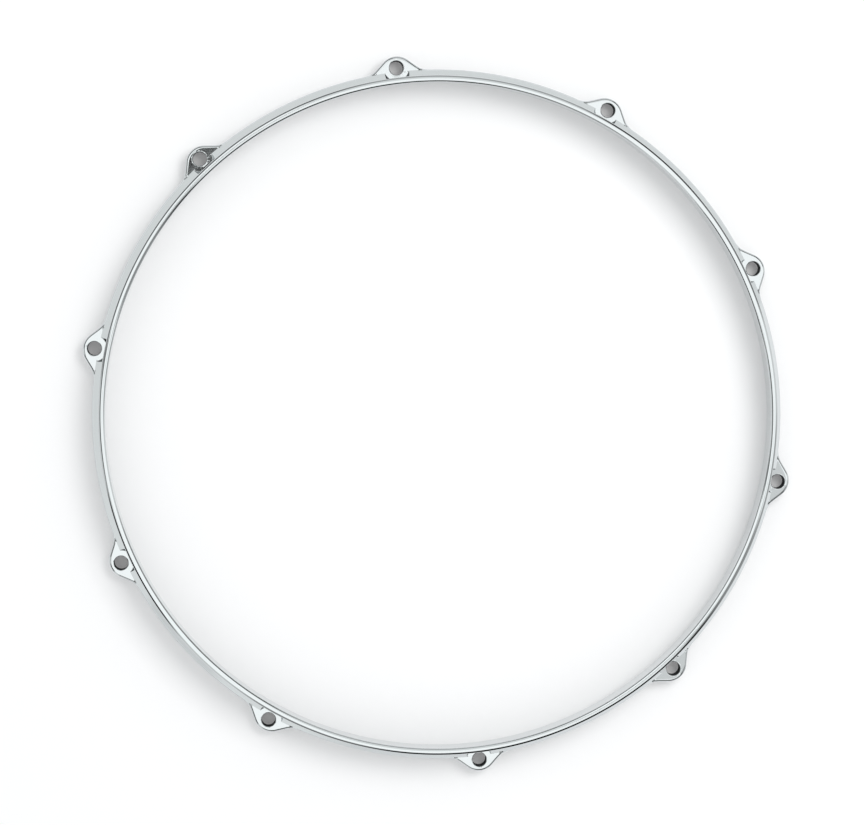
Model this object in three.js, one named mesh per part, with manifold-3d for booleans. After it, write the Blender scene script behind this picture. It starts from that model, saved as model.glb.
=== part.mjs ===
// Die-cast drum hoop for a 14 inch head, with ten ears for tension rods.
// It lies as it is photographed: the rim is up, the ears are down, and the underside rests on z = 0.
// The origin is on the axis of the hoop, in the plane of the underside. Ear 01 is on the +Y side.
// Lengths are in millimetres.

import * as THREE from 'three';
import { mergeVertices } from 'three/addons/utils/BufferGeometryUtils.js';
import Module from 'manifold-3d';

// Ring: radii run from the inside of the wall outwards, heights from the underside up.
const innerRadius = 180.9;
const ledgeWidth = 2.7;
const wallThickness = 3.4;
const beadOverhang = 0.3;
const flangeWidth = 7.5;
const overallHeight = 24;
const pocketDepth = 6.5;
const flangeEdgeHeight = 9.0;
const shoulderRise = 3.6;
const beadHeight = 4.2;

// Ring: how far each corner of the section is rounded.
const pocketMouthRounding = 0.5;
const footRounding = 1.0;
const flangeEdgeRounding = 1.8;
const shoulderFillet = 1.4;
const beadNeckFillet = 0.8;
const ledgeLipRounding = 0.5;
const pocketCornerFillet = 0.5;
const rimRoundingShare = 0.8;

// Ears: the hole for the tension rod stands just outside the flange. The ear's round end is wider
// than the hole calls for, so its centre lies further in.
const earCount = 10;
const holeBeyondFlange = 2.1;
const rodHoleRadius = 3.8;
const holeLipRounding = 0.75;
const earEndRadius = 10;
const earEndInset = 3.7;
const earRootFillet = 12;
const earFlankAngle = THREE.MathUtils.degToRad(42);
const earThickness = 9.3;
const earEdgeRounding = 1.3;

// Washer seat: a flat cut into the top of the ear, with a relief in the wall behind it.
const seatRadius = 7.7;
const seatSink = 0.2;
const reliefHeight = 6.2;
const reliefRounding = 2.2;

// Division of the casting into a ring and ten ears.
const kerf = 0.3;
const ringSkinBehindEar = 0.35;
const overrun = 2;

// Fineness of the round shapes.
const ringSegments = 100;
const cornerSteps = 2;
const beadSteps = 3;
const holeSegments = 20;
const seatSegments = 36;
const earEndSteps = 8;
const earRootSteps = 3;

const wallRadius = innerRadius + wallThickness;
const beadRadius = wallRadius + beadOverhang;
const flangeRadius = innerRadius + flangeWidth;
const pocketRadius = innerRadius + ledgeWidth;
const boltCircleRadius = flangeRadius + holeBeyondFlange;
const earEndCentre = boltCircleRadius - earEndInset;
const rimRounding = (beadRadius - innerRadius) / 2 * rimRoundingShare;
const seatHeight = earThickness - seatSink;
const earPitch = 2 * Math.PI / earCount;

const wasm = await Module();
wasm.setup();

// Turns a closed three.js geometry into a solid that can be joined and cut.
function toSolid(geometry) {
  const bare = geometry.clone();
  bare.deleteAttribute('normal');
  bare.deleteAttribute('uv');
  const welded = mergeVertices(bare);
  const corners = welded.index.array;
  const triangles = [];
  for (let i = 0; i < corners.length; i += 3) {
    const [a, b, c] = corners.slice(i, i + 3);
    if (a !== b && b !== c && c !== a) {
      triangles.push(a, b, c);
    }
  }
  const mesh = new wasm.Mesh({
    numProp: 3,
    vertProperties: new Float32Array(welded.attributes.position.array),
    triVerts: new Uint32Array(triangles),
  });
  return new wasm.Manifold(mesh);
}

// Turns a finished solid back into a three.js geometry.
function toGeometry(solid) {
  const mesh = solid.getMesh();
  const geometry = new THREE.BufferGeometry();
  geometry.setAttribute('position', new THREE.BufferAttribute(mesh.vertProperties, 3));
  geometry.setIndex(new THREE.BufferAttribute(mesh.triVerts, 1));
  geometry.computeVertexNormals();
  return geometry;
}

// Points along an arc, from one angle to another.
function arc(x, y, radius, from, to, steps) {
  return Array.from({ length: steps + 1 }, (_, i) => {
    const angle = from + (to - from) * i / steps;
    return new THREE.Vector2(x + radius * Math.cos(angle), y + radius * Math.sin(angle));
  });
}

// Replaces one corner of an outline by an arc that touches both of its sides.
function roundedCorner(before, corner, after, radius, steps) {
  const back = before.clone().sub(corner).normalize();
  const ahead = after.clone().sub(corner).normalize();
  const half = Math.acos(THREE.MathUtils.clamp(back.dot(ahead), -1, 1)) / 2;
  const middle = back.clone().add(ahead).normalize();
  const centre = corner.clone().addScaledVector(middle, radius / Math.sin(half));
  const start = corner.clone().addScaledVector(back, radius / Math.tan(half)).sub(centre).angle();
  const turn = Math.sign(ahead.cross(back)) * (Math.PI - 2 * half);
  return arc(centre.x, centre.y, radius, start, start + turn, steps);
}

// Outline of a section from its sharp corners, each given as radius, height, rounding and steps.
function roundedSection(corners) {
  const sharp = corners.map(([x, y]) => new THREE.Vector2(x, y));
  return corners.flatMap(([, , rounding, steps], i) => {
    const before = sharp[(i + sharp.length - 1) % sharp.length];
    const after = sharp[(i + 1) % sharp.length];
    return roundedCorner(before, sharp[i], after, rounding, steps);
  });
}

// Turns a section about the axis of the hoop or of a hole, and stands the axis upright.
function turned(points, segments) {
  return new THREE.LatheGeometry(points, segments).rotateX(Math.PI / 2);
}

// Ring: foot and flange, sloping shoulder, wall, rounded rim bead, ledge and pocket for the head.
function ringBlank() {
  const beadUnderside = overallHeight - beadHeight;
  const points = roundedSection([
    [pocketRadius, 0, pocketMouthRounding, 1],
    [flangeRadius, 0, footRounding, cornerSteps],
    [flangeRadius, flangeEdgeHeight, flangeEdgeRounding, cornerSteps],
    [wallRadius, flangeEdgeHeight + shoulderRise, shoulderFillet, cornerSteps],
    [wallRadius, beadUnderside, beadNeckFillet, 1],
    [beadRadius, beadUnderside + beadOverhang, beadNeckFillet / 2, 1],
    [beadRadius, overallHeight, rimRounding, beadSteps],
    [innerRadius, overallHeight, rimRounding, beadSteps],
    [innerRadius, pocketDepth, ledgeLipRounding, 1],
    [pocketRadius, pocketDepth, pocketCornerFillet, 1],
  ]);
  return toSolid(turned([...points, points[0].clone()], ringSegments));
}

// Where the round root of an ear touches the flange, as seen from above with the ear on +Y.
function earRoot() {
  const reach = flangeRadius + earRootFillet;
  const offset = earEndCentre * Math.cos(earFlankAngle) + earEndRadius + earRootFillet;
  const along = Math.sqrt(reach * reach - offset * offset);
  const centre = new THREE.Vector2(
    offset * Math.sin(earFlankAngle) - along * Math.cos(earFlankAngle),
    offset * Math.cos(earFlankAngle) + along * Math.sin(earFlankAngle),
  );
  return { centre, angle: Math.atan2(centre.x, centre.y) };
}

const root = earRoot();

// Ear: round end beyond the hole, two straight flanks, and roots that run out along the flange.
function earBlank() {
  const inside = (pocketRadius + wallRadius) / 2;
  const { centre, angle } = root;
  const inner = new THREE.Vector2(inside * Math.sin(angle), inside * Math.cos(angle));
  const touch = Math.PI / 2 - angle;
  const flank = Math.PI / 2 - earFlankAngle;
  const rightRoot = arc(centre.x, centre.y, earRootFillet, touch - Math.PI, flank - Math.PI, earRootSteps);
  const leftRoot = rightRoot.map((p) => new THREE.Vector2(-p.x, p.y)).reverse();
  const end = arc(0, earEndCentre, earEndRadius, flank, Math.PI - flank, earEndSteps);
  const outline = [inner, ...rightRoot, ...end, ...leftRoot, new THREE.Vector2(-inner.x, inner.y)];
  const block = new THREE.ExtrudeGeometry(new THREE.Shape(outline), {
    depth: earThickness - 2 * earEdgeRounding,
    bevelThickness: earEdgeRounding,
    bevelSize: earEdgeRounding,
    bevelOffset: -earEdgeRounding,
    bevelSegments: cornerSteps,
  });
  return toSolid(block.translate(0, 0, earEdgeRounding));
}

// Cutter for the rod hole, with a rounded lip at the washer seat.
function rodHoleCutter() {
  const lipRadius = rodHoleRadius + holeLipRounding;
  const top = seatHeight + overrun;
  const section = [
    new THREE.Vector2(0, -overrun),
    new THREE.Vector2(rodHoleRadius, -overrun),
    ...arc(lipRadius, seatHeight - holeLipRounding, holeLipRounding, Math.PI, Math.PI / 2, cornerSteps),
    new THREE.Vector2(lipRadius, top),
    new THREE.Vector2(0, top),
  ];
  return toSolid(turned(section, holeSegments).translate(0, boltCircleRadius, 0));
}

// Cutter for the washer seat: a flat floor, and a domed top where it bites into the wall.
function seatCutter() {
  const top = seatHeight + reliefHeight;
  const section = [
    new THREE.Vector2(0, seatHeight),
    new THREE.Vector2(seatRadius, seatHeight),
    ...arc(seatRadius - reliefRounding, top - reliefRounding, reliefRounding, 0, Math.PI / 2, cornerSteps),
    new THREE.Vector2(0, top),
  ];
  return toSolid(turned(section, seatSegments).translate(0, boltCircleRadius, 0));
}

// Block round one ear, seen from above as part of a ring, grown or shrunk by half of the kerf.
function earCell(growth) {
  const inside = wallRadius + ringSkinBehindEar + kerf / 2 - growth;
  const outside = earEndCentre + earEndRadius + overrun;
  const half = root.angle + (earEdgeRounding + growth) / flangeRadius;
  const outline = [
    ...arc(0, 0, outside, Math.PI / 2 - half, Math.PI / 2 + half, earEndSteps),
    ...arc(0, 0, inside, Math.PI / 2 + half, Math.PI / 2 - half, earEndSteps),
  ];
  const block = new THREE.ExtrudeGeometry(new THREE.Shape(outline), {
    depth: overallHeight,
    bevelEnabled: false,
  });
  return toSolid(block.translate(0, 0, -overrun));
}

// The casting in one piece: ring and ears joined, then seats and holes cut.
const earAngles = Array.from({ length: earCount }, (_, i) => i * earPitch);

function aroundRing(solid) {
  return earAngles.map((angle) => solid.rotate([0, 0, THREE.MathUtils.radToDeg(angle)]));
}

const joined = wasm.Manifold.union([ringBlank(), ...aroundRing(earBlank())]);
const casting = wasm.Manifold.difference([
  joined,
  ...aroundRing(seatCutter()),
  ...aroundRing(rodHoleCutter()),
]);

// The same casting, divided along the roots of its ears.
const ring = wasm.Manifold.difference([casting, ...aroundRing(earCell(kerf / 2))]);
const ear = casting.intersect(earCell(-kerf / 2));

function chromePlate() {
  return new THREE.MeshStandardMaterial({ color: 0xdfe3e3, metalness: 1, roughness: 0.08 });
}

const drumHoop = new THREE.Group();

const ringMesh = new THREE.Mesh(toGeometry(ring), chromePlate());
ringMesh.name = 'hoop_ring';
drumHoop.add(ringMesh);

earAngles.forEach((angle, i) => {
  const mesh = new THREE.Mesh(toGeometry(ear), chromePlate());
  mesh.name = `lug_ear_${String(i + 1).padStart(2, '0')}`;
  mesh.rotation.z = angle;
  drumHoop.add(mesh);
});

export default drumHoop;
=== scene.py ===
# Drum hoop for a 14 inch head: a die-cast ring with ten ears for tension rods, chrome plated.
# It lies rim up on a white floor, and the camera looks down on it.
# Sizes are in millimetres, and MM turns them to Blender's metres.
import math

import bmesh
import bpy
from mathutils import Matrix, Vector


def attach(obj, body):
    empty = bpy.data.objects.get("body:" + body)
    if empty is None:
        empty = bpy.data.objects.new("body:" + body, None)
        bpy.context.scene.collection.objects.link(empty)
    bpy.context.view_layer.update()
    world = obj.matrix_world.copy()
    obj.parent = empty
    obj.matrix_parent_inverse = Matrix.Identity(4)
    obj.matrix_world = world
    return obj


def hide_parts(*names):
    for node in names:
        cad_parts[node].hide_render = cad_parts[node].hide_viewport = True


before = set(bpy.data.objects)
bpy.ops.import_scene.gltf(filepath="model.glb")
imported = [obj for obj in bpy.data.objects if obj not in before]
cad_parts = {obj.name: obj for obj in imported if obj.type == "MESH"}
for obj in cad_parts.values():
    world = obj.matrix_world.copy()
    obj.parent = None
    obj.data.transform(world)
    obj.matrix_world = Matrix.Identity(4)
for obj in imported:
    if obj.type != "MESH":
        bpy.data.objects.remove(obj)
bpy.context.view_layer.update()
MM = 0.001


# Camera: on a stand about 1.9 m above the hoop, off its axis towards the picture's upper left,
# with a long lens. The picture's upward direction is turned a few degrees from the first ear.
PHOTO_WIDTH = 864
SENSOR_WIDTH = 36.0
FOCAL_PIXELS = 3470.5
CAMERA_FOOT = (-103.4, 85.6)  # right and up in the picture, from the hoop's axis
CAMERA_HEIGHT = 1900.0
AIM = (-3.32, 1.60)  # right and up in the picture
AIM_HEIGHT = 9.0
PICTURE_TURN = math.radians(6.85)
NEAREST, FURTHEST = 50.0, 50000.0

picture_right = Vector((math.cos(PICTURE_TURN), -math.sin(PICTURE_TURN), 0))
picture_up = Vector((math.sin(PICTURE_TURN), math.cos(PICTURE_TURN), 0))


def above_picture(right, up, height):
    """A point in mm, from how far right and up it lies in the picture, and how high."""
    return picture_right * right + picture_up * up + Vector((0, 0, height))


eye = above_picture(*CAMERA_FOOT, CAMERA_HEIGHT)
backwards = (eye - above_picture(*AIM, AIM_HEIGHT)).normalized()
sideways = picture_up.cross(backwards).normalized()
upwards = backwards.cross(sideways)

bpy.ops.object.camera_add(location=eye * MM)
camera = bpy.context.object
camera.name = "overhead_camera"
camera.rotation_mode = "QUATERNION"
camera.rotation_quaternion = Matrix((sideways, upwards, backwards)).transposed().to_quaternion()
camera.data.sensor_width = SENSOR_WIDTH
camera.data.lens = SENSOR_WIDTH * FOCAL_PIXELS / PHOTO_WIDTH
camera.data.clip_start = NEAREST * MM
camera.data.clip_end = FURTHEST * MM
bpy.context.scene.camera = camera


# Ring: zinc die casting with a foot and flange, a sloping shoulder, a wall, and a rounded bead at
# the rim. Inside, a ledge and a pocket hold the flesh hoop of the head. It's cast in one piece
# with its ears, and ground and polished all over before it's plated.
INNER_RADIUS = 180.9
WALL_RADIUS = 184.3
BEAD_RADIUS = 184.6
FLANGE_RADIUS = 188.4
POCKET_RADIUS = 183.6
OVERALL_HEIGHT = 24.0
POCKET_DEPTH = 6.5
FLANGE_EDGE_HEIGHT = 9.0
SHOULDER_HEIGHT = 12.6
BEAD_UNDERSIDE = 19.8
POCKET_ROUNDING = 0.5
FOOT_ROUNDING = 1.0
FLANGE_EDGE_ROUNDING = 1.8
SHOULDER_FILLET = 1.4
BEAD_NECK_FILLET = 0.8
BEAD_LOWER_ROUNDING = 0.4
BEAD_CROWN_ROUNDING = 3.5
BEAD_EDGE_ROUNDING = 0.75
BEAD_EDGE_STEPS = 9
BEAD_CROWN_STEPS = 8
BEAD_MIDDLE = (INNER_RADIUS + BEAD_RADIUS) / 2
EDGE_TILT = math.asin(((BEAD_RADIUS - INNER_RADIUS) / 2 - BEAD_EDGE_ROUNDING) / (
    BEAD_CROWN_ROUNDING - BEAD_EDGE_ROUNDING))


def bead_point(tilt):
    """A corner of the bead's top where its face leans outwards by tilt: a domed crown that ends
    in tighter round edges."""
    share = math.sin(min(max(tilt, -EDGE_TILT), EDGE_TILT))
    drop = math.cos(min(abs(tilt), EDGE_TILT))
    across = (BEAD_CROWN_ROUNDING - BEAD_EDGE_ROUNDING) * share
    across += BEAD_EDGE_ROUNDING * math.sin(tilt)
    fall = BEAD_CROWN_ROUNDING * (1 - drop) + BEAD_EDGE_ROUNDING * (drop - math.cos(tilt))
    return BEAD_MIDDLE + across, OVERALL_HEIGHT - fall, 0, 0


outer_tilts = [math.pi / 2 + (EDGE_TILT - math.pi / 2) * i / BEAD_EDGE_STEPS
               for i in range(BEAD_EDGE_STEPS)]
outer_tilts += [EDGE_TILT * (1 - i / BEAD_CROWN_STEPS) for i in range(BEAD_CROWN_STEPS)]
inner_tilts = [-tilt for tilt in reversed(outer_tilts)]
SECTION_CORNERS = [  # radius, height, rounding, steps of the rounding
    (POCKET_RADIUS, 0, POCKET_ROUNDING, 4),
    (FLANGE_RADIUS, 0, FOOT_ROUNDING, 6),
    (FLANGE_RADIUS, FLANGE_EDGE_HEIGHT, FLANGE_EDGE_ROUNDING, 8),
    (WALL_RADIUS, SHOULDER_HEIGHT, SHOULDER_FILLET, 8),
    (WALL_RADIUS, BEAD_UNDERSIDE, BEAD_NECK_FILLET, 4),
    (BEAD_RADIUS, BEAD_UNDERSIDE + BEAD_RADIUS - WALL_RADIUS, BEAD_LOWER_ROUNDING, 3),
    *[bead_point(tilt) for tilt in (*outer_tilts, 0.0, *inner_tilts)],
    (INNER_RADIUS, POCKET_DEPTH, POCKET_ROUNDING, 4),
    (POCKET_RADIUS, POCKET_DEPTH, POCKET_ROUNDING, 4),
]

# The ring is modelled as one sector and copied round. Each sector is cut clear of its ear at the
# root of the flange, and the washer seat bites into its shoulder and wall.
EAR_COUNT = 10
EAR_PITCH = 2 * math.pi / EAR_COUNT
SECTOR_STEPS = 72
BOLT_CIRCLE_RADIUS = 190.5
DIVISION_RADIUS = 185.1
DIVISION_HALF_ANGLE = math.radians(5.76)
DIVISION_OUTSIDE = 202.0  # clear of the ears' ends
DIVISION_STEPS = 23
OVERRUN = 2.0  # how far a cutter stands out of what it cuts
SEAT_HEIGHT = 9.1
SEAT_STEPS = 96
SEAT_CORNERS = [  # distance from the rod hole's axis, height, rounding, steps
    (0, SEAT_HEIGHT, 0, 0),
    (7.0, SEAT_HEIGHT, 0.3, 4),
    (8.3, SEAT_HEIGHT + 2.8, 0.5, 4),
    (7.7, SEAT_HEIGHT + 6.2, 2.2, 8),
    (0, SEAT_HEIGHT + 6.2, 0, 0),
]
TOUCH = 1e-6  # metres or radians within which points count as the same
WELD = 2e-7  # metres, for the doubles within one piece
SEAM_WELD = 5e-7  # metres, between sectors that were turned into place
CRISP_ANGLE = math.radians(32)


def only(obj):
    """Makes obj the one selected and active object."""
    bpy.ops.object.select_all(action="DESELECT")
    obj.select_set(True)
    bpy.context.view_layer.objects.active = obj


def pick(obj, kind, test):
    """Selects, in edit mode, the vertices, edges or faces of obj that pass a test."""
    bpy.ops.mesh.select_mode(type=kind)
    bpy.ops.mesh.select_all(action="DESELECT")
    shell = bmesh.from_edit_mesh(obj.data)
    parts = {"VERT": shell.verts, "EDGE": shell.edges, "FACE": shell.faces}[kind]
    for part in parts:
        if test(part):
            part.select_set(True)
    shell.select_flush_mode()
    bmesh.update_edit_mesh(obj.data)


def place(radius, azimuth, height):
    """A point of the hoop in metres: azimuth runs from +Y, where ear 01 stands, towards +X."""
    return Vector((radius * math.sin(azimuth), radius * math.cos(azimuth), height)) * MM


def azimuth_of(point):
    """The azimuth, in the sense of place, at which a point stands."""
    return math.atan2(point.x, point.y)


def rounded_outline(name, corners, azimuth, centre_radius=0.0):
    """A flat section whose sharp corners are placed first and then bevelled round.
    With a centre radius it's the section of a round hole about an axis that stands there."""
    bpy.ops.object.select_all(action="DESELECT")
    bpy.ops.mesh.primitive_circle_add(vertices=len(corners), radius=1, fill_type="NGON")
    obj = bpy.context.object
    obj.name = name
    spots = [place(centre_radius + radius, azimuth, height) for radius, height, _, _ in corners]
    for vertex, spot in zip(obj.data.vertices, spots):
        vertex.co = spot
    bpy.ops.object.mode_set(mode="EDIT")
    for i, (_, _, rounding, steps) in enumerate(corners):
        if not rounding:
            continue
        back = spots[i - 1] - spots[i]
        ahead = spots[(i + 1) % len(spots)] - spots[i]
        offset = rounding * MM / math.tan(back.angle(ahead) / 2)
        pick(obj, "VERT", lambda vertex: (vertex.co - spots[i]).length < TOUCH)
        bpy.ops.mesh.bevel(offset=offset, segments=steps, profile=0.5, affect="VERTICES")
    return obj


def close_ends(obj):
    """Fills open ends, merges doubles and turns the faces outwards. Leaves edit mode."""
    bpy.ops.mesh.select_all(action="SELECT")
    bpy.ops.mesh.remove_doubles(threshold=WELD)
    pick(obj, "EDGE", lambda edge: len(edge.link_faces) == 1)
    bpy.ops.mesh.edge_face_add()
    bpy.ops.mesh.select_all(action="SELECT")
    bpy.ops.mesh.normals_make_consistent(inside=False)
    bpy.ops.object.mode_set(mode="OBJECT")


def spin_about(obj, centre, angle, steps):
    """Spins the section in edit mode about an upright axis, and closes the shape.
    A full turn needs no end faces, and no edges that lie on the axis."""
    if angle == 2 * math.pi:
        bpy.ops.mesh.select_all(action="SELECT")
        bpy.ops.mesh.delete(type="ONLY_FACE")
        pick(obj, "EDGE", lambda edge: all(
            (vertex.co - centre).xy.length < TOUCH for vertex in edge.verts))
        bpy.ops.mesh.delete(type="EDGE")
    bpy.ops.mesh.select_all(action="SELECT")
    bpy.ops.mesh.spin(steps=steps, angle=angle, center=centre, axis=(0, 0, 1), dupli=False)
    close_ends(obj)


def cutter_on_rod_axis(name, corners, steps):
    """A closed round cutter about the axis of ear 01's rod hole."""
    obj = rounded_outline(name, corners, 0, BOLT_CIRCLE_RADIUS)
    spin_about(obj, place(BOLT_CIRCLE_RADIUS, 0, 0), 2 * math.pi, steps)
    return obj


def division_cutter():
    """Block round one ear, which parts the ear from the ring at the root of the flange."""
    low, high = -OVERRUN, OVERALL_HEIGHT + OVERRUN
    corners = [
        (DIVISION_RADIUS, low, 0, 0),
        (DIVISION_OUTSIDE, low, 0, 0),
        (DIVISION_OUTSIDE, high, 0, 0),
        (DIVISION_RADIUS, high, 0, 0),
    ]
    obj = rounded_outline("division_cutter", corners, -DIVISION_HALF_ANGLE)
    spin_about(obj, (0, 0, 0), 2 * DIVISION_HALF_ANGLE, DIVISION_STEPS)
    return obj


def cut(obj, cutter):
    """Cuts one closed shape out of another, and leaves the cutter in place."""
    only(obj)
    modifier = obj.modifiers.new("cut", "BOOLEAN")
    modifier.operation = "DIFFERENCE"
    modifier.solver = "EXACT"
    modifier.object = cutter
    bpy.ops.object.modifier_apply(modifier=modifier.name)


def copies_round(obj, name):
    """Copies of obj turned about the hoop's axis, one for each ear, each with its own mesh."""
    made = []
    for i in range(EAR_COUNT):
        copy = obj.copy()
        copy.data = obj.data.copy()
        copy.name = f"{name}_{i + 1:02d}"
        bpy.context.collection.objects.link(copy)
        only(copy)
        copy.rotation_mode = "XYZ"
        copy.rotation_euler = (0, 0, i * EAR_PITCH)
        bpy.ops.object.transform_apply(location=True, rotation=True, scale=True)
        made.append(copy)
    return made


def polish(obj):
    """Smooth shading with crisp corners, and flat faces that stay flat beside their roundings."""
    only(obj)
    bpy.ops.object.shade_smooth_by_angle(angle=CRISP_ANGLE)
    modifier = obj.modifiers.new("even_normals", "WEIGHTED_NORMAL")
    modifier.mode = "FACE_AREA"
    modifier.weight = 50
    modifier.keep_sharp = True
    bpy.ops.object.modifier_apply(modifier=modifier.name)


sector = rounded_outline("hoop_sector", SECTION_CORNERS, -EAR_PITCH / 2)
spin_about(sector, (0, 0, 0), EAR_PITCH, SECTOR_STEPS)
division = division_cutter()
seat = cutter_on_rod_axis("seat_cutter", SEAT_CORNERS, SEAT_STEPS)
cut(sector, division)
cut(sector, seat)

only(sector)
bpy.ops.object.mode_set(mode="EDIT")
pick(sector, "FACE", lambda face: all(
    abs(abs(azimuth_of(vertex.co)) - EAR_PITCH / 2) < TOUCH for vertex in face.verts))
bpy.ops.mesh.delete(type="FACE")
bpy.ops.object.mode_set(mode="OBJECT")
sectors = copies_round(sector, "hoop_sector")
for obj in (sector, division):
    bpy.data.objects.remove(obj)
only(sectors[0])
for obj in sectors:
    obj.select_set(True)
bpy.ops.object.join()
ring = bpy.context.object
ring.name = "cast_ring"
bpy.ops.object.mode_set(mode="EDIT")
bpy.ops.mesh.select_all(action="SELECT")
bpy.ops.mesh.remove_doubles(threshold=SEAM_WELD)
bpy.ops.mesh.normals_make_consistent(inside=False)
bpy.ops.object.mode_set(mode="OBJECT")
polish(ring)

# Chrome plate: a bright, slightly cool metal over polished zinc. It's nearly a mirror, with the
# faint waviness of a casting that was ground and buffed by hand, and a thin haze of handling.
CHROME_TINT = "#D3D7D8"
WAVE_LENGTH = 7.0  # about the width of a buffing stroke
WAVE_DEPTH = 0.008
HAZE_PATCH = 30.0  # about the size of a touch of the hand
CHROME_ROUGHNESS = (0.03, 0.07)


def linear(hex_code):
    """An sRGB hex colour as the linear colour that a node takes."""
    values = [int(hex_code[i:i + 2], 16) / 255 for i in (1, 3, 5)]
    return (*[v / 12.92 if v <= 0.04045 else ((v + 0.055) / 1.055) ** 2.4 for v in values], 1)


def add_node(tree, kind, inputs=None, **settings):
    """Adds a node with its settings, and its inputs as values or as links from other sockets.
    An input goes by its number where several have one name: a Mix node blends the numbers at
    2 and 3, or the colours at 6 and 7."""
    node = tree.nodes.new(kind)
    for key, value in settings.items():
        setattr(node, key, value)
    for key, value in (inputs or {}).items():
        if isinstance(value, bpy.types.NodeSocket):
            tree.links.new(value, node.inputs[key])
        else:
            node.inputs[key].default_value = value
    return node


def new_material(name):
    """An empty material and its node tree."""
    material = bpy.data.materials.new(name)
    material.use_nodes = True
    material.node_tree.nodes.clear()
    return material, material.node_tree


chrome, tree = new_material("bright_chrome_plate")
where = add_node(tree, "ShaderNodeTexCoord")
waves = add_node(tree, "ShaderNodeTexNoise", {
    "Vector": where.outputs["Object"], "Scale": 1 / (WAVE_LENGTH * MM), "Detail": 2.0,
    "Roughness": 0.45})
bump = add_node(tree, "ShaderNodeBump", {
    "Height": waves.outputs["Fac"], "Strength": 1.0, "Distance": WAVE_DEPTH * MM})
haze = add_node(tree, "ShaderNodeTexNoise", {
    "Vector": where.outputs["Object"], "Scale": 1 / (HAZE_PATCH * MM), "Detail": 6.0,
    "Roughness": 0.6})
rough = add_node(tree, "ShaderNodeMapRange", {
    "Value": haze.outputs["Fac"], "From Min": 0.3, "From Max": 0.7,
    "To Min": CHROME_ROUGHNESS[0], "To Max": CHROME_ROUGHNESS[1]})
plate = add_node(tree, "ShaderNodeBsdfPrincipled", {
    "Base Color": linear(CHROME_TINT), "Metallic": 1.0, "Roughness": rough.outputs["Result"],
    "Normal": bump.outputs["Normal"]})
add_node(tree, "ShaderNodeOutputMaterial", {"Surface": plate.outputs["BSDF"]})
ring.data.materials.clear()
ring.data.materials.append(chrome)
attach(ring, "root")
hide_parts("hoop_ring")


# Ears: ten bosses drawn out of the flange, each with a hole for a tension rod. The washer's flat
# seat is level with the top of the ear, and bites into the shoulder and a little way into the
# wall. They're part of the same casting, so their faces run on into the ring's without a step.
EAR_TOP_HEIGHT = 9.08
EAR_END_RADIUS = 10.0
EAR_END_CENTRE = 186.8  # further in than the rod hole, whose axis stands at 190.5
EAR_ROOT_FILLET = 12.0
EAR_FLANK = math.radians(42)
EAR_EDGE_ROUNDING = 1.3
EAR_TOP_ENDS = (math.radians(3.4), math.radians(5.7))  # the flat top sinks between these
EAR_TOP_DROP = 2.2
EAR_COLUMNS = 96
EAR_FOOT_STEPS = 6
EAR_EDGE_STEPS = 8
EAR_TOP_ROWS = 8
EAR_SIDE_SHARES = (0.1, 0.5, 0.9)  # where points stand on the upright side
EAR_BACK_HEIGHT = 6.0  # of the one point between top and underside where the ear meets the ring
SLOPE_REACH = 0.5  # over which the slope of the top is taken at its outer edge
LEAST_ROW = 0.1  # the least width of the flat top
SHOULDER_RISE = (SHOULDER_HEIGHT - FLANGE_EDGE_HEIGHT) / (FLANGE_RADIUS - WALL_RADIUS)
FLANK_REACH = EAR_END_CENTRE * math.cos(EAR_FLANK) + EAR_END_RADIUS

# The ear's outline has a round end, two straight flanks, and roots that run out along the flange.
root_reach = FLANGE_RADIUS + EAR_ROOT_FILLET
root_off = FLANK_REACH + EAR_ROOT_FILLET
root_along = math.sqrt(root_reach ** 2 - root_off ** 2)
ROOT_CENTRE = (
    root_off * math.sin(EAR_FLANK) - root_along * math.cos(EAR_FLANK),
    root_off * math.cos(EAR_FLANK) + root_along * math.sin(EAR_FLANK),
)


def smooth_step(value, start, end):
    """Runs from 0 at start to 1 at end, level at both."""
    share = min(max((value - start) / (end - start), 0.0), 1.0)
    return share * share * (3 - 2 * share)


def outline_radius(azimuth, inset):
    """Outer edge of flange and ear seen from above, moved inwards by inset."""
    turn = abs(azimuth)
    end = EAR_END_RADIUS - inset
    root = EAR_ROOT_FILLET + inset
    normal = (math.sin(EAR_FLANK), math.cos(EAR_FLANK))
    arc_ends = math.atan2(end * normal[0], EAR_END_CENTRE + end * normal[1])
    flank_ends = math.atan2(ROOT_CENTRE[0] - root * normal[0], ROOT_CENTRE[1] - root * normal[1])
    root_ends = math.atan2(*ROOT_CENTRE)
    if turn <= arc_ends:
        across = EAR_END_CENTRE * math.sin(turn)
        return EAR_END_CENTRE * math.cos(turn) + math.sqrt(end ** 2 - across ** 2)
    if turn <= flank_ends:
        return (FLANK_REACH - inset) / math.cos(turn - EAR_FLANK)
    if turn <= root_ends:
        ahead = ROOT_CENTRE[0] * math.sin(turn) + ROOT_CENTRE[1] * math.cos(turn)
        across = ROOT_CENTRE[0] * math.cos(turn) - ROOT_CENTRE[1] * math.sin(turn)
        return ahead - math.sqrt(root ** 2 - across ** 2)
    return FLANGE_RADIUS - inset


def flat_height(azimuth):
    """Height of the ear's flat top, which sinks below the flange at both ends."""
    return EAR_TOP_HEIGHT - EAR_TOP_DROP * smooth_step(abs(azimuth), *EAR_TOP_ENDS)


def ear_top(azimuth, radius):
    """Height of the ear's flat top or of the ring's shoulder, whichever is higher."""
    shoulder = FLANGE_EDGE_HEIGHT + (FLANGE_RADIUS - radius) * SHOULDER_RISE
    return max(flat_height(azimuth), shoulder)


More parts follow.
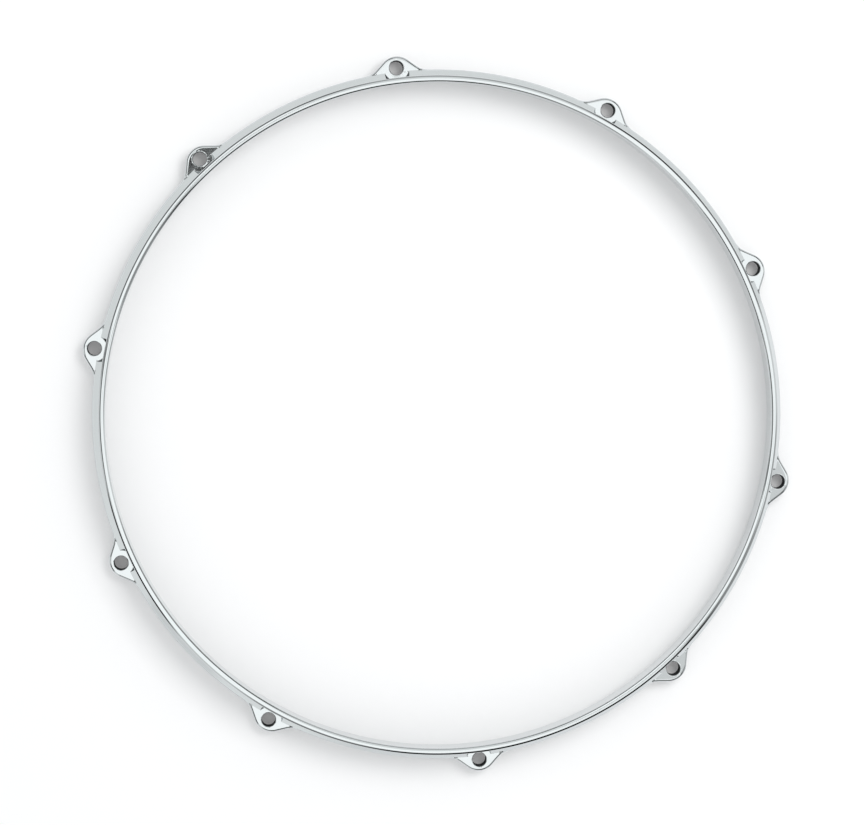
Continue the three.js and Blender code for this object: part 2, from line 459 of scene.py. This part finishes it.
def ear_section(azimuth):
    """Points of the ear's section at one azimuth, from the underside outwards and over the top."""
    flange = smooth_step(abs(azimuth), *EAR_TOP_ENDS)
    foot = EAR_EDGE_ROUNDING + (FOOT_ROUNDING - EAR_EDGE_ROUNDING) * flange
    edge = EAR_EDGE_ROUNDING + (FLANGE_EDGE_ROUNDING - EAR_EDGE_ROUNDING) * flange
    outer = outline_radius(azimuth, 0)
    corner = ear_top(azimuth, outer)
    slope = math.atan((ear_top(azimuth, outer - SLOPE_REACH) - corner) / SLOPE_REACH)
    centre_height = corner - edge * (1 - math.sin(slope)) / math.cos(slope)
    points = [(DIVISION_RADIUS, 0.0), ((DIVISION_RADIUS + outline_radius(azimuth, foot)) / 2, 0.0)]
    for i in range(EAR_FOOT_STEPS + 1):
        angle = math.pi / 2 * i / EAR_FOOT_STEPS
        inset = foot * (1 - math.sin(angle))
        points.append((outline_radius(azimuth, inset), foot * (1 - math.cos(angle))))
    points += [(outer, foot + (centre_height - foot) * share) for share in EAR_SIDE_SHARES]
    for i in range(EAR_EDGE_STEPS + 1):
        angle = (math.pi / 2 - slope) * i / EAR_EDGE_STEPS
        inset = edge * (1 - math.cos(angle))
        points.append((outline_radius(azimuth, inset), centre_height + edge * math.sin(angle)))
    inner_edge = outline_radius(azimuth, edge * (1 - math.sin(slope)))
    crease = FLANGE_RADIUS - (flat_height(azimuth) - FLANGE_EDGE_HEIGHT) / SHOULDER_RISE
    crease = min(crease, inner_edge - LEAST_ROW)
    for start, end in ((inner_edge, crease), (crease, DIVISION_RADIUS)):
        for i in range(1, EAR_TOP_ROWS + 1):
            radius = start + (end - start) * i / EAR_TOP_ROWS
            points.append((radius, ear_top(azimuth, radius)))
    points += [(DIVISION_RADIUS, EAR_BACK_HEIGHT), (DIVISION_RADIUS, 0.0)]
    return points


bpy.ops.object.select_all(action="DESELECT")
bpy.ops.mesh.primitive_grid_add(
    x_subdivisions=EAR_COLUMNS, y_subdivisions=len(ear_section(0.0)) - 1, size=1)
ear = bpy.context.object
ear.name = "ear"
for column in range(EAR_COLUMNS + 1):
    azimuth = DIVISION_HALF_ANGLE * (2 * column / EAR_COLUMNS - 1)
    for row, (radius, height) in enumerate(ear_section(azimuth)):
        ear.data.vertices[row * (EAR_COLUMNS + 1) + column].co = place(radius, azimuth, height)
bpy.ops.object.mode_set(mode="EDIT")
bpy.ops.mesh.select_all(action="SELECT")
bpy.ops.mesh.remove_doubles(threshold=WELD)
for side in (-1, 1):
    pick(ear, "EDGE", lambda edge: len(edge.link_faces) == 1 and all(
        abs(azimuth_of(vertex.co) - side * DIVISION_HALF_ANGLE) < TOUCH for vertex in edge.verts))
    bpy.ops.mesh.edge_face_add()
bpy.ops.mesh.select_all(action="SELECT")
bpy.ops.mesh.normals_make_consistent(inside=False)
bpy.ops.object.mode_set(mode="OBJECT")

# Rod holes: drilled through each ear for a tension rod of about 5 mm with room to spare, with a
# small rounded lip at the washer seat.
HOLE_RADIUS = 3.8
HOLE_LIP = 0.5
HOLE_LIP_BASE = SEAT_HEIGHT - HOLE_LIP
HOLE_LIP_TURNS = [math.radians(degrees) for degrees in range(15, 91, 15)]
HOLE_TOP = 12.0  # of the cutter, clear of the ear
HOLE_STEPS = 72
HOLE_CORNERS = [
    (0, -OVERRUN, 0, 0),
    (HOLE_RADIUS, -OVERRUN, 0, 0),
    (HOLE_RADIUS, HOLE_LIP_BASE, 0, 0),
    *[(HOLE_RADIUS + HOLE_LIP * (1 - math.cos(turn)),
       HOLE_LIP_BASE + HOLE_LIP * math.sin(turn), 0, 0) for turn in HOLE_LIP_TURNS],
    (HOLE_RADIUS + HOLE_LIP, HOLE_TOP, 0, 0),
    (0, HOLE_TOP, 0, 0),
]
rod_hole = cutter_on_rod_axis("hole_cutter", HOLE_CORNERS, HOLE_STEPS)
cut(ear, seat)
cut(ear, rod_hole)
ears = copies_round(ear, "cast_ear")
for obj in (ear, seat, rod_hole):
    bpy.data.objects.remove(obj)

# Rod bores: plating hardly reaches into a narrow hole, so its inside is left dull, with the mottle
# of bare zinc showing through. Its dark colour is also painted shade, standing in for the shade
# deep in the hole.
# Dark tones of the bore, mixed at random: dull zinc, darkened further with painted shade.
BORE_ZINC_AND_PAINTED_SHADE = ("#1E2021", "#4E5153")
BORE_GRAIN = 1.2
BORE_PAINTED_SHADE_REACH = 3.9  # from the rod hole's axis

bore, tree = new_material("thin_dull_plate_and_painted_shade")
where = add_node(tree, "ShaderNodeTexCoord")
cast = add_node(tree, "ShaderNodeTexNoise", {
    "Vector": where.outputs["Object"], "Scale": 1 / (BORE_GRAIN * MM), "Detail": 4.0,
    "Roughness": 0.6})
tone = add_node(tree, "ShaderNodeMix", {
    "Factor": cast.outputs["Fac"], 6: linear(BORE_ZINC_AND_PAINTED_SHADE[0]), 7: linear(BORE_ZINC_AND_PAINTED_SHADE[1])},
    data_type="RGBA")
dull = add_node(tree, "ShaderNodeBsdfPrincipled", {
    "Base Color": tone.outputs[2], "Roughness": 0.8})
add_node(tree, "ShaderNodeOutputMaterial", {"Surface": dull.outputs["BSDF"]})
for i, obj in enumerate(ears):
    polish(obj)
    obj.data.materials.clear()
    obj.data.materials.append(chrome)
    obj.data.materials.append(bore)
    # Faces close to the rod's axis take the dull bore material with its painted shade.
    rod_axis = place(BOLT_CIRCLE_RADIUS, -i * EAR_PITCH, 0)
    for face in obj.data.polygons:
        if (face.center - rod_axis).xy.length < BORE_PAINTED_SHADE_REACH * MM:
            face.material_index = 1
    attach(obj, "root")
    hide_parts(f"lug_ear_{i + 1:02d}")


# Floor: a smooth white sheet that runs past the picture on all sides. It's lit like any white
# surface, so it keeps the hoop's soft shadow, and a trace of glow brings its open part to white.
FLOOR_WIDTH = 20000.0
FLOOR_DROP = 0.1
PAPER_WHITE = "#EDEDED"
PAPER_GLOW = 0.16

bpy.ops.object.select_all(action="DESELECT")
bpy.ops.mesh.primitive_plane_add(size=FLOOR_WIDTH * MM, location=(0, 0, -FLOOR_DROP * MM))
floor = bpy.context.object
floor.name = "white_floor"
bpy.ops.object.transform_apply(location=True, rotation=True, scale=True)
paper, tree = new_material("white_paper_sweep")
rays = add_node(tree, "ShaderNodeLightPath")
seen = add_node(tree, "ShaderNodeMath", {
    0: rays.outputs["Is Camera Ray"], 1: rays.outputs["Is Glossy Ray"]}, operation="MAXIMUM")
trace = add_node(tree, "ShaderNodeMath", {
    0: seen.outputs["Value"], 1: PAPER_GLOW}, operation="MULTIPLY")
glow = add_node(tree, "ShaderNodeEmission", {
    "Color": (1, 1, 1, 1), "Strength": trace.outputs["Value"]})
sheet = add_node(tree, "ShaderNodeBsdfDiffuse", {"Color": linear(PAPER_WHITE)})
both = add_node(tree, "ShaderNodeAddShader", {
    0: sheet.outputs["BSDF"], 1: glow.outputs["Emission"]})
add_node(tree, "ShaderNodeOutputMaterial", {"Surface": both.outputs["Shader"]})
floor.data.materials.append(paper)


# Light: a pale studio all round and one wide soft box, up and to the picture's right. The chrome
# mirrors a light horizon, a ring of darker flats above it, two paler rings, and a white ceiling
# with the dark camera in it. The soft box itself is kept out of the mirror images.
FILL_COLOUR = (0.75, 0.76, 0.77, 1)  # what lights the hoop
STUDIO_COLOUR = (0.985, 1.0, 1.0, 1)  # what the chrome mirrors, times the levels below
CEILING_LEVEL = 1.35
CEILING_STARTS = (8, 5)  # degrees from straight up where it takes over
CAMERA_LEVEL = 0.03
CAMERA_HEADING = math.radians(117)
CAMERA_TILT = math.radians(3.6)
CAMERA_SPREAD = (math.radians(2.4), math.radians(2.2))
STUDIO_RINGS = [  # (degrees from straight up where it takes over), (heading in the picture, level)
    (None, [(-180, 0.95), (-152, 1.0), (-145, 1.0), (-142, 0.85), (-129, 0.85), (-124, 1.0),
            (-82, 1.0), (-79, 0.25), (-70, 0.25), (-66, 1.0), (180, 0.95)]),
    ((84, 77), [(-180, 0.85), (-165, 0.8), (-160, 0.1), (-148, 0.02), (-138, 0.03), (-134, 0.8),
                (-124, 0.8), (-114, 0.3), (-98, 0.2), (-92, 0.02), (-40, 0.02), (-32, 0.4),
                (-8, 0.5), (0, 0.85), (10, 0.85), (16, 0.25), (30, 0.25), (38, 0.06),
                (53, 0.04), (60, 0.5), (95, 0.5), (108, 0.2), (165, 0.2), (172, 0.3), (180, 0.85)]),
    ((33, 29), [(-180, 0.12), (-164, 0.08), (-158, 0.8), (-148, 1.35), (-46, 1.35), (-40, 0.3),
                (-25, 0.3), (-18, 1.35), (44, 1.35), (50, 0.95), (104, 0.95), (114, 1.35),
                (168, 1.35), (174, 0.2), (180, 0.12)]),
    ((17, 13), [(-180, 1.35), (-58, 1.35), (-52, 0.86), (-20, 0.86), (-12, 1.35), (44, 1.35),
                (52, 1.0), (104, 1.0), (112, 1.35), (180, 1.35)]),
]

world = bpy.data.worlds.new("pale_studio")
bpy.context.scene.world = world
world.use_nodes = True
tree = world.node_tree
tree.nodes.clear()
rays = add_node(tree, "ShaderNodeLightPath")
where = add_node(tree, "ShaderNodeTexCoord")
direction = add_node(tree, "ShaderNodeSeparateXYZ", {0: where.outputs["Generated"]})
turned = add_node(tree, "ShaderNodeMapping", {
    "Vector": where.outputs["Generated"], "Rotation": (0, 0, PICTURE_TURN)})
heading = add_node(tree, "ShaderNodeTexGradient", {
    "Vector": turned.outputs["Vector"]}, gradient_type="RADIAL")
levels = []
for takes_over, stops in STUDIO_RINGS:
    ramp = add_node(tree, "ShaderNodeValToRGB", {"Fac": heading.outputs["Fac"]})
    ramp.color_ramp.interpolation = "EASE"
    while len(ramp.color_ramp.elements) < len(stops):
        ramp.color_ramp.elements.new(0.5)
    for i, (angle, tone) in enumerate(stops):
        ramp.color_ramp.elements[i].position = (angle + 180) / 360
        ramp.color_ramp.elements[i].color = (tone, tone, tone, 1)
    levels.append((takes_over, ramp.outputs["Color"]))
toward_camera = (
    math.sin(CAMERA_TILT) * math.cos(CAMERA_HEADING),
    math.sin(CAMERA_TILT) * math.sin(CAMERA_HEADING),
    math.cos(CAMERA_TILT),
)
camera_spot = add_node(tree, "ShaderNodeVectorMath", {
    0: turned.outputs["Vector"], 1: toward_camera}, operation="DOT_PRODUCT")
ceiling = add_node(tree, "ShaderNodeMapRange", {
    "Value": camera_spot.outputs["Value"], "From Min": math.cos(CAMERA_SPREAD[0]),
    "From Max": math.cos(CAMERA_SPREAD[1]), "To Min": CEILING_LEVEL, "To Max": CAMERA_LEVEL})
levels.append((CEILING_STARTS, ceiling.outputs["Result"]))

level = levels[0][1]
for (starts, ends), above in levels[1:]:
    share = add_node(tree, "ShaderNodeMapRange", {
        "Value": direction.outputs["Z"], "From Min": math.cos(math.radians(starts)),
        "From Max": math.cos(math.radians(ends))}, interpolation_type="SMOOTHSTEP")
    level = add_node(tree, "ShaderNodeMix", {
        "Factor": share.outputs["Result"], 2: level, 3: above}).outputs[0]
fill = add_node(tree, "ShaderNodeBackground", {"Color": FILL_COLOUR, "Strength": 1.0})
studio = add_node(tree, "ShaderNodeBackground", {"Color": STUDIO_COLOUR, "Strength": level})
white = add_node(tree, "ShaderNodeBackground", {"Color": (1, 1, 1, 1), "Strength": 1.0})
mirrored = add_node(tree, "ShaderNodeMixShader", {
    0: rays.outputs["Is Glossy Ray"], 1: fill.outputs["Background"],
    2: studio.outputs["Background"]})
mix = add_node(tree, "ShaderNodeMixShader", {
    0: rays.outputs["Is Camera Ray"], 1: mirrored.outputs["Shader"],
    2: white.outputs["Background"]})
add_node(tree, "ShaderNodeOutputWorld", {"Surface": mix.outputs["Shader"]})

# The soft box is a square of 0.9 m on a stand, turned to face the hoop.
KEY_PLACE = (665.9, 605.4)  # right and up in the picture
KEY_HEIGHT = 1500.0
KEY_WIDTH = 900.0
KEY_POWER = 12
key_spot = above_picture(*KEY_PLACE, KEY_HEIGHT) * MM
bpy.ops.object.light_add(type="AREA", location=key_spot)
key = bpy.context.object
key.name = "key_soft_box"
key.data.shape = "SQUARE"
key.data.size = KEY_WIDTH * MM
key.data.energy = KEY_POWER
key.visible_glossy = False
key.rotation_mode = "QUATERNION"
key.rotation_quaternion = key_spot.to_track_quat("Z", "Y")

bpy.context.scene.view_settings.view_transform = "Standard"
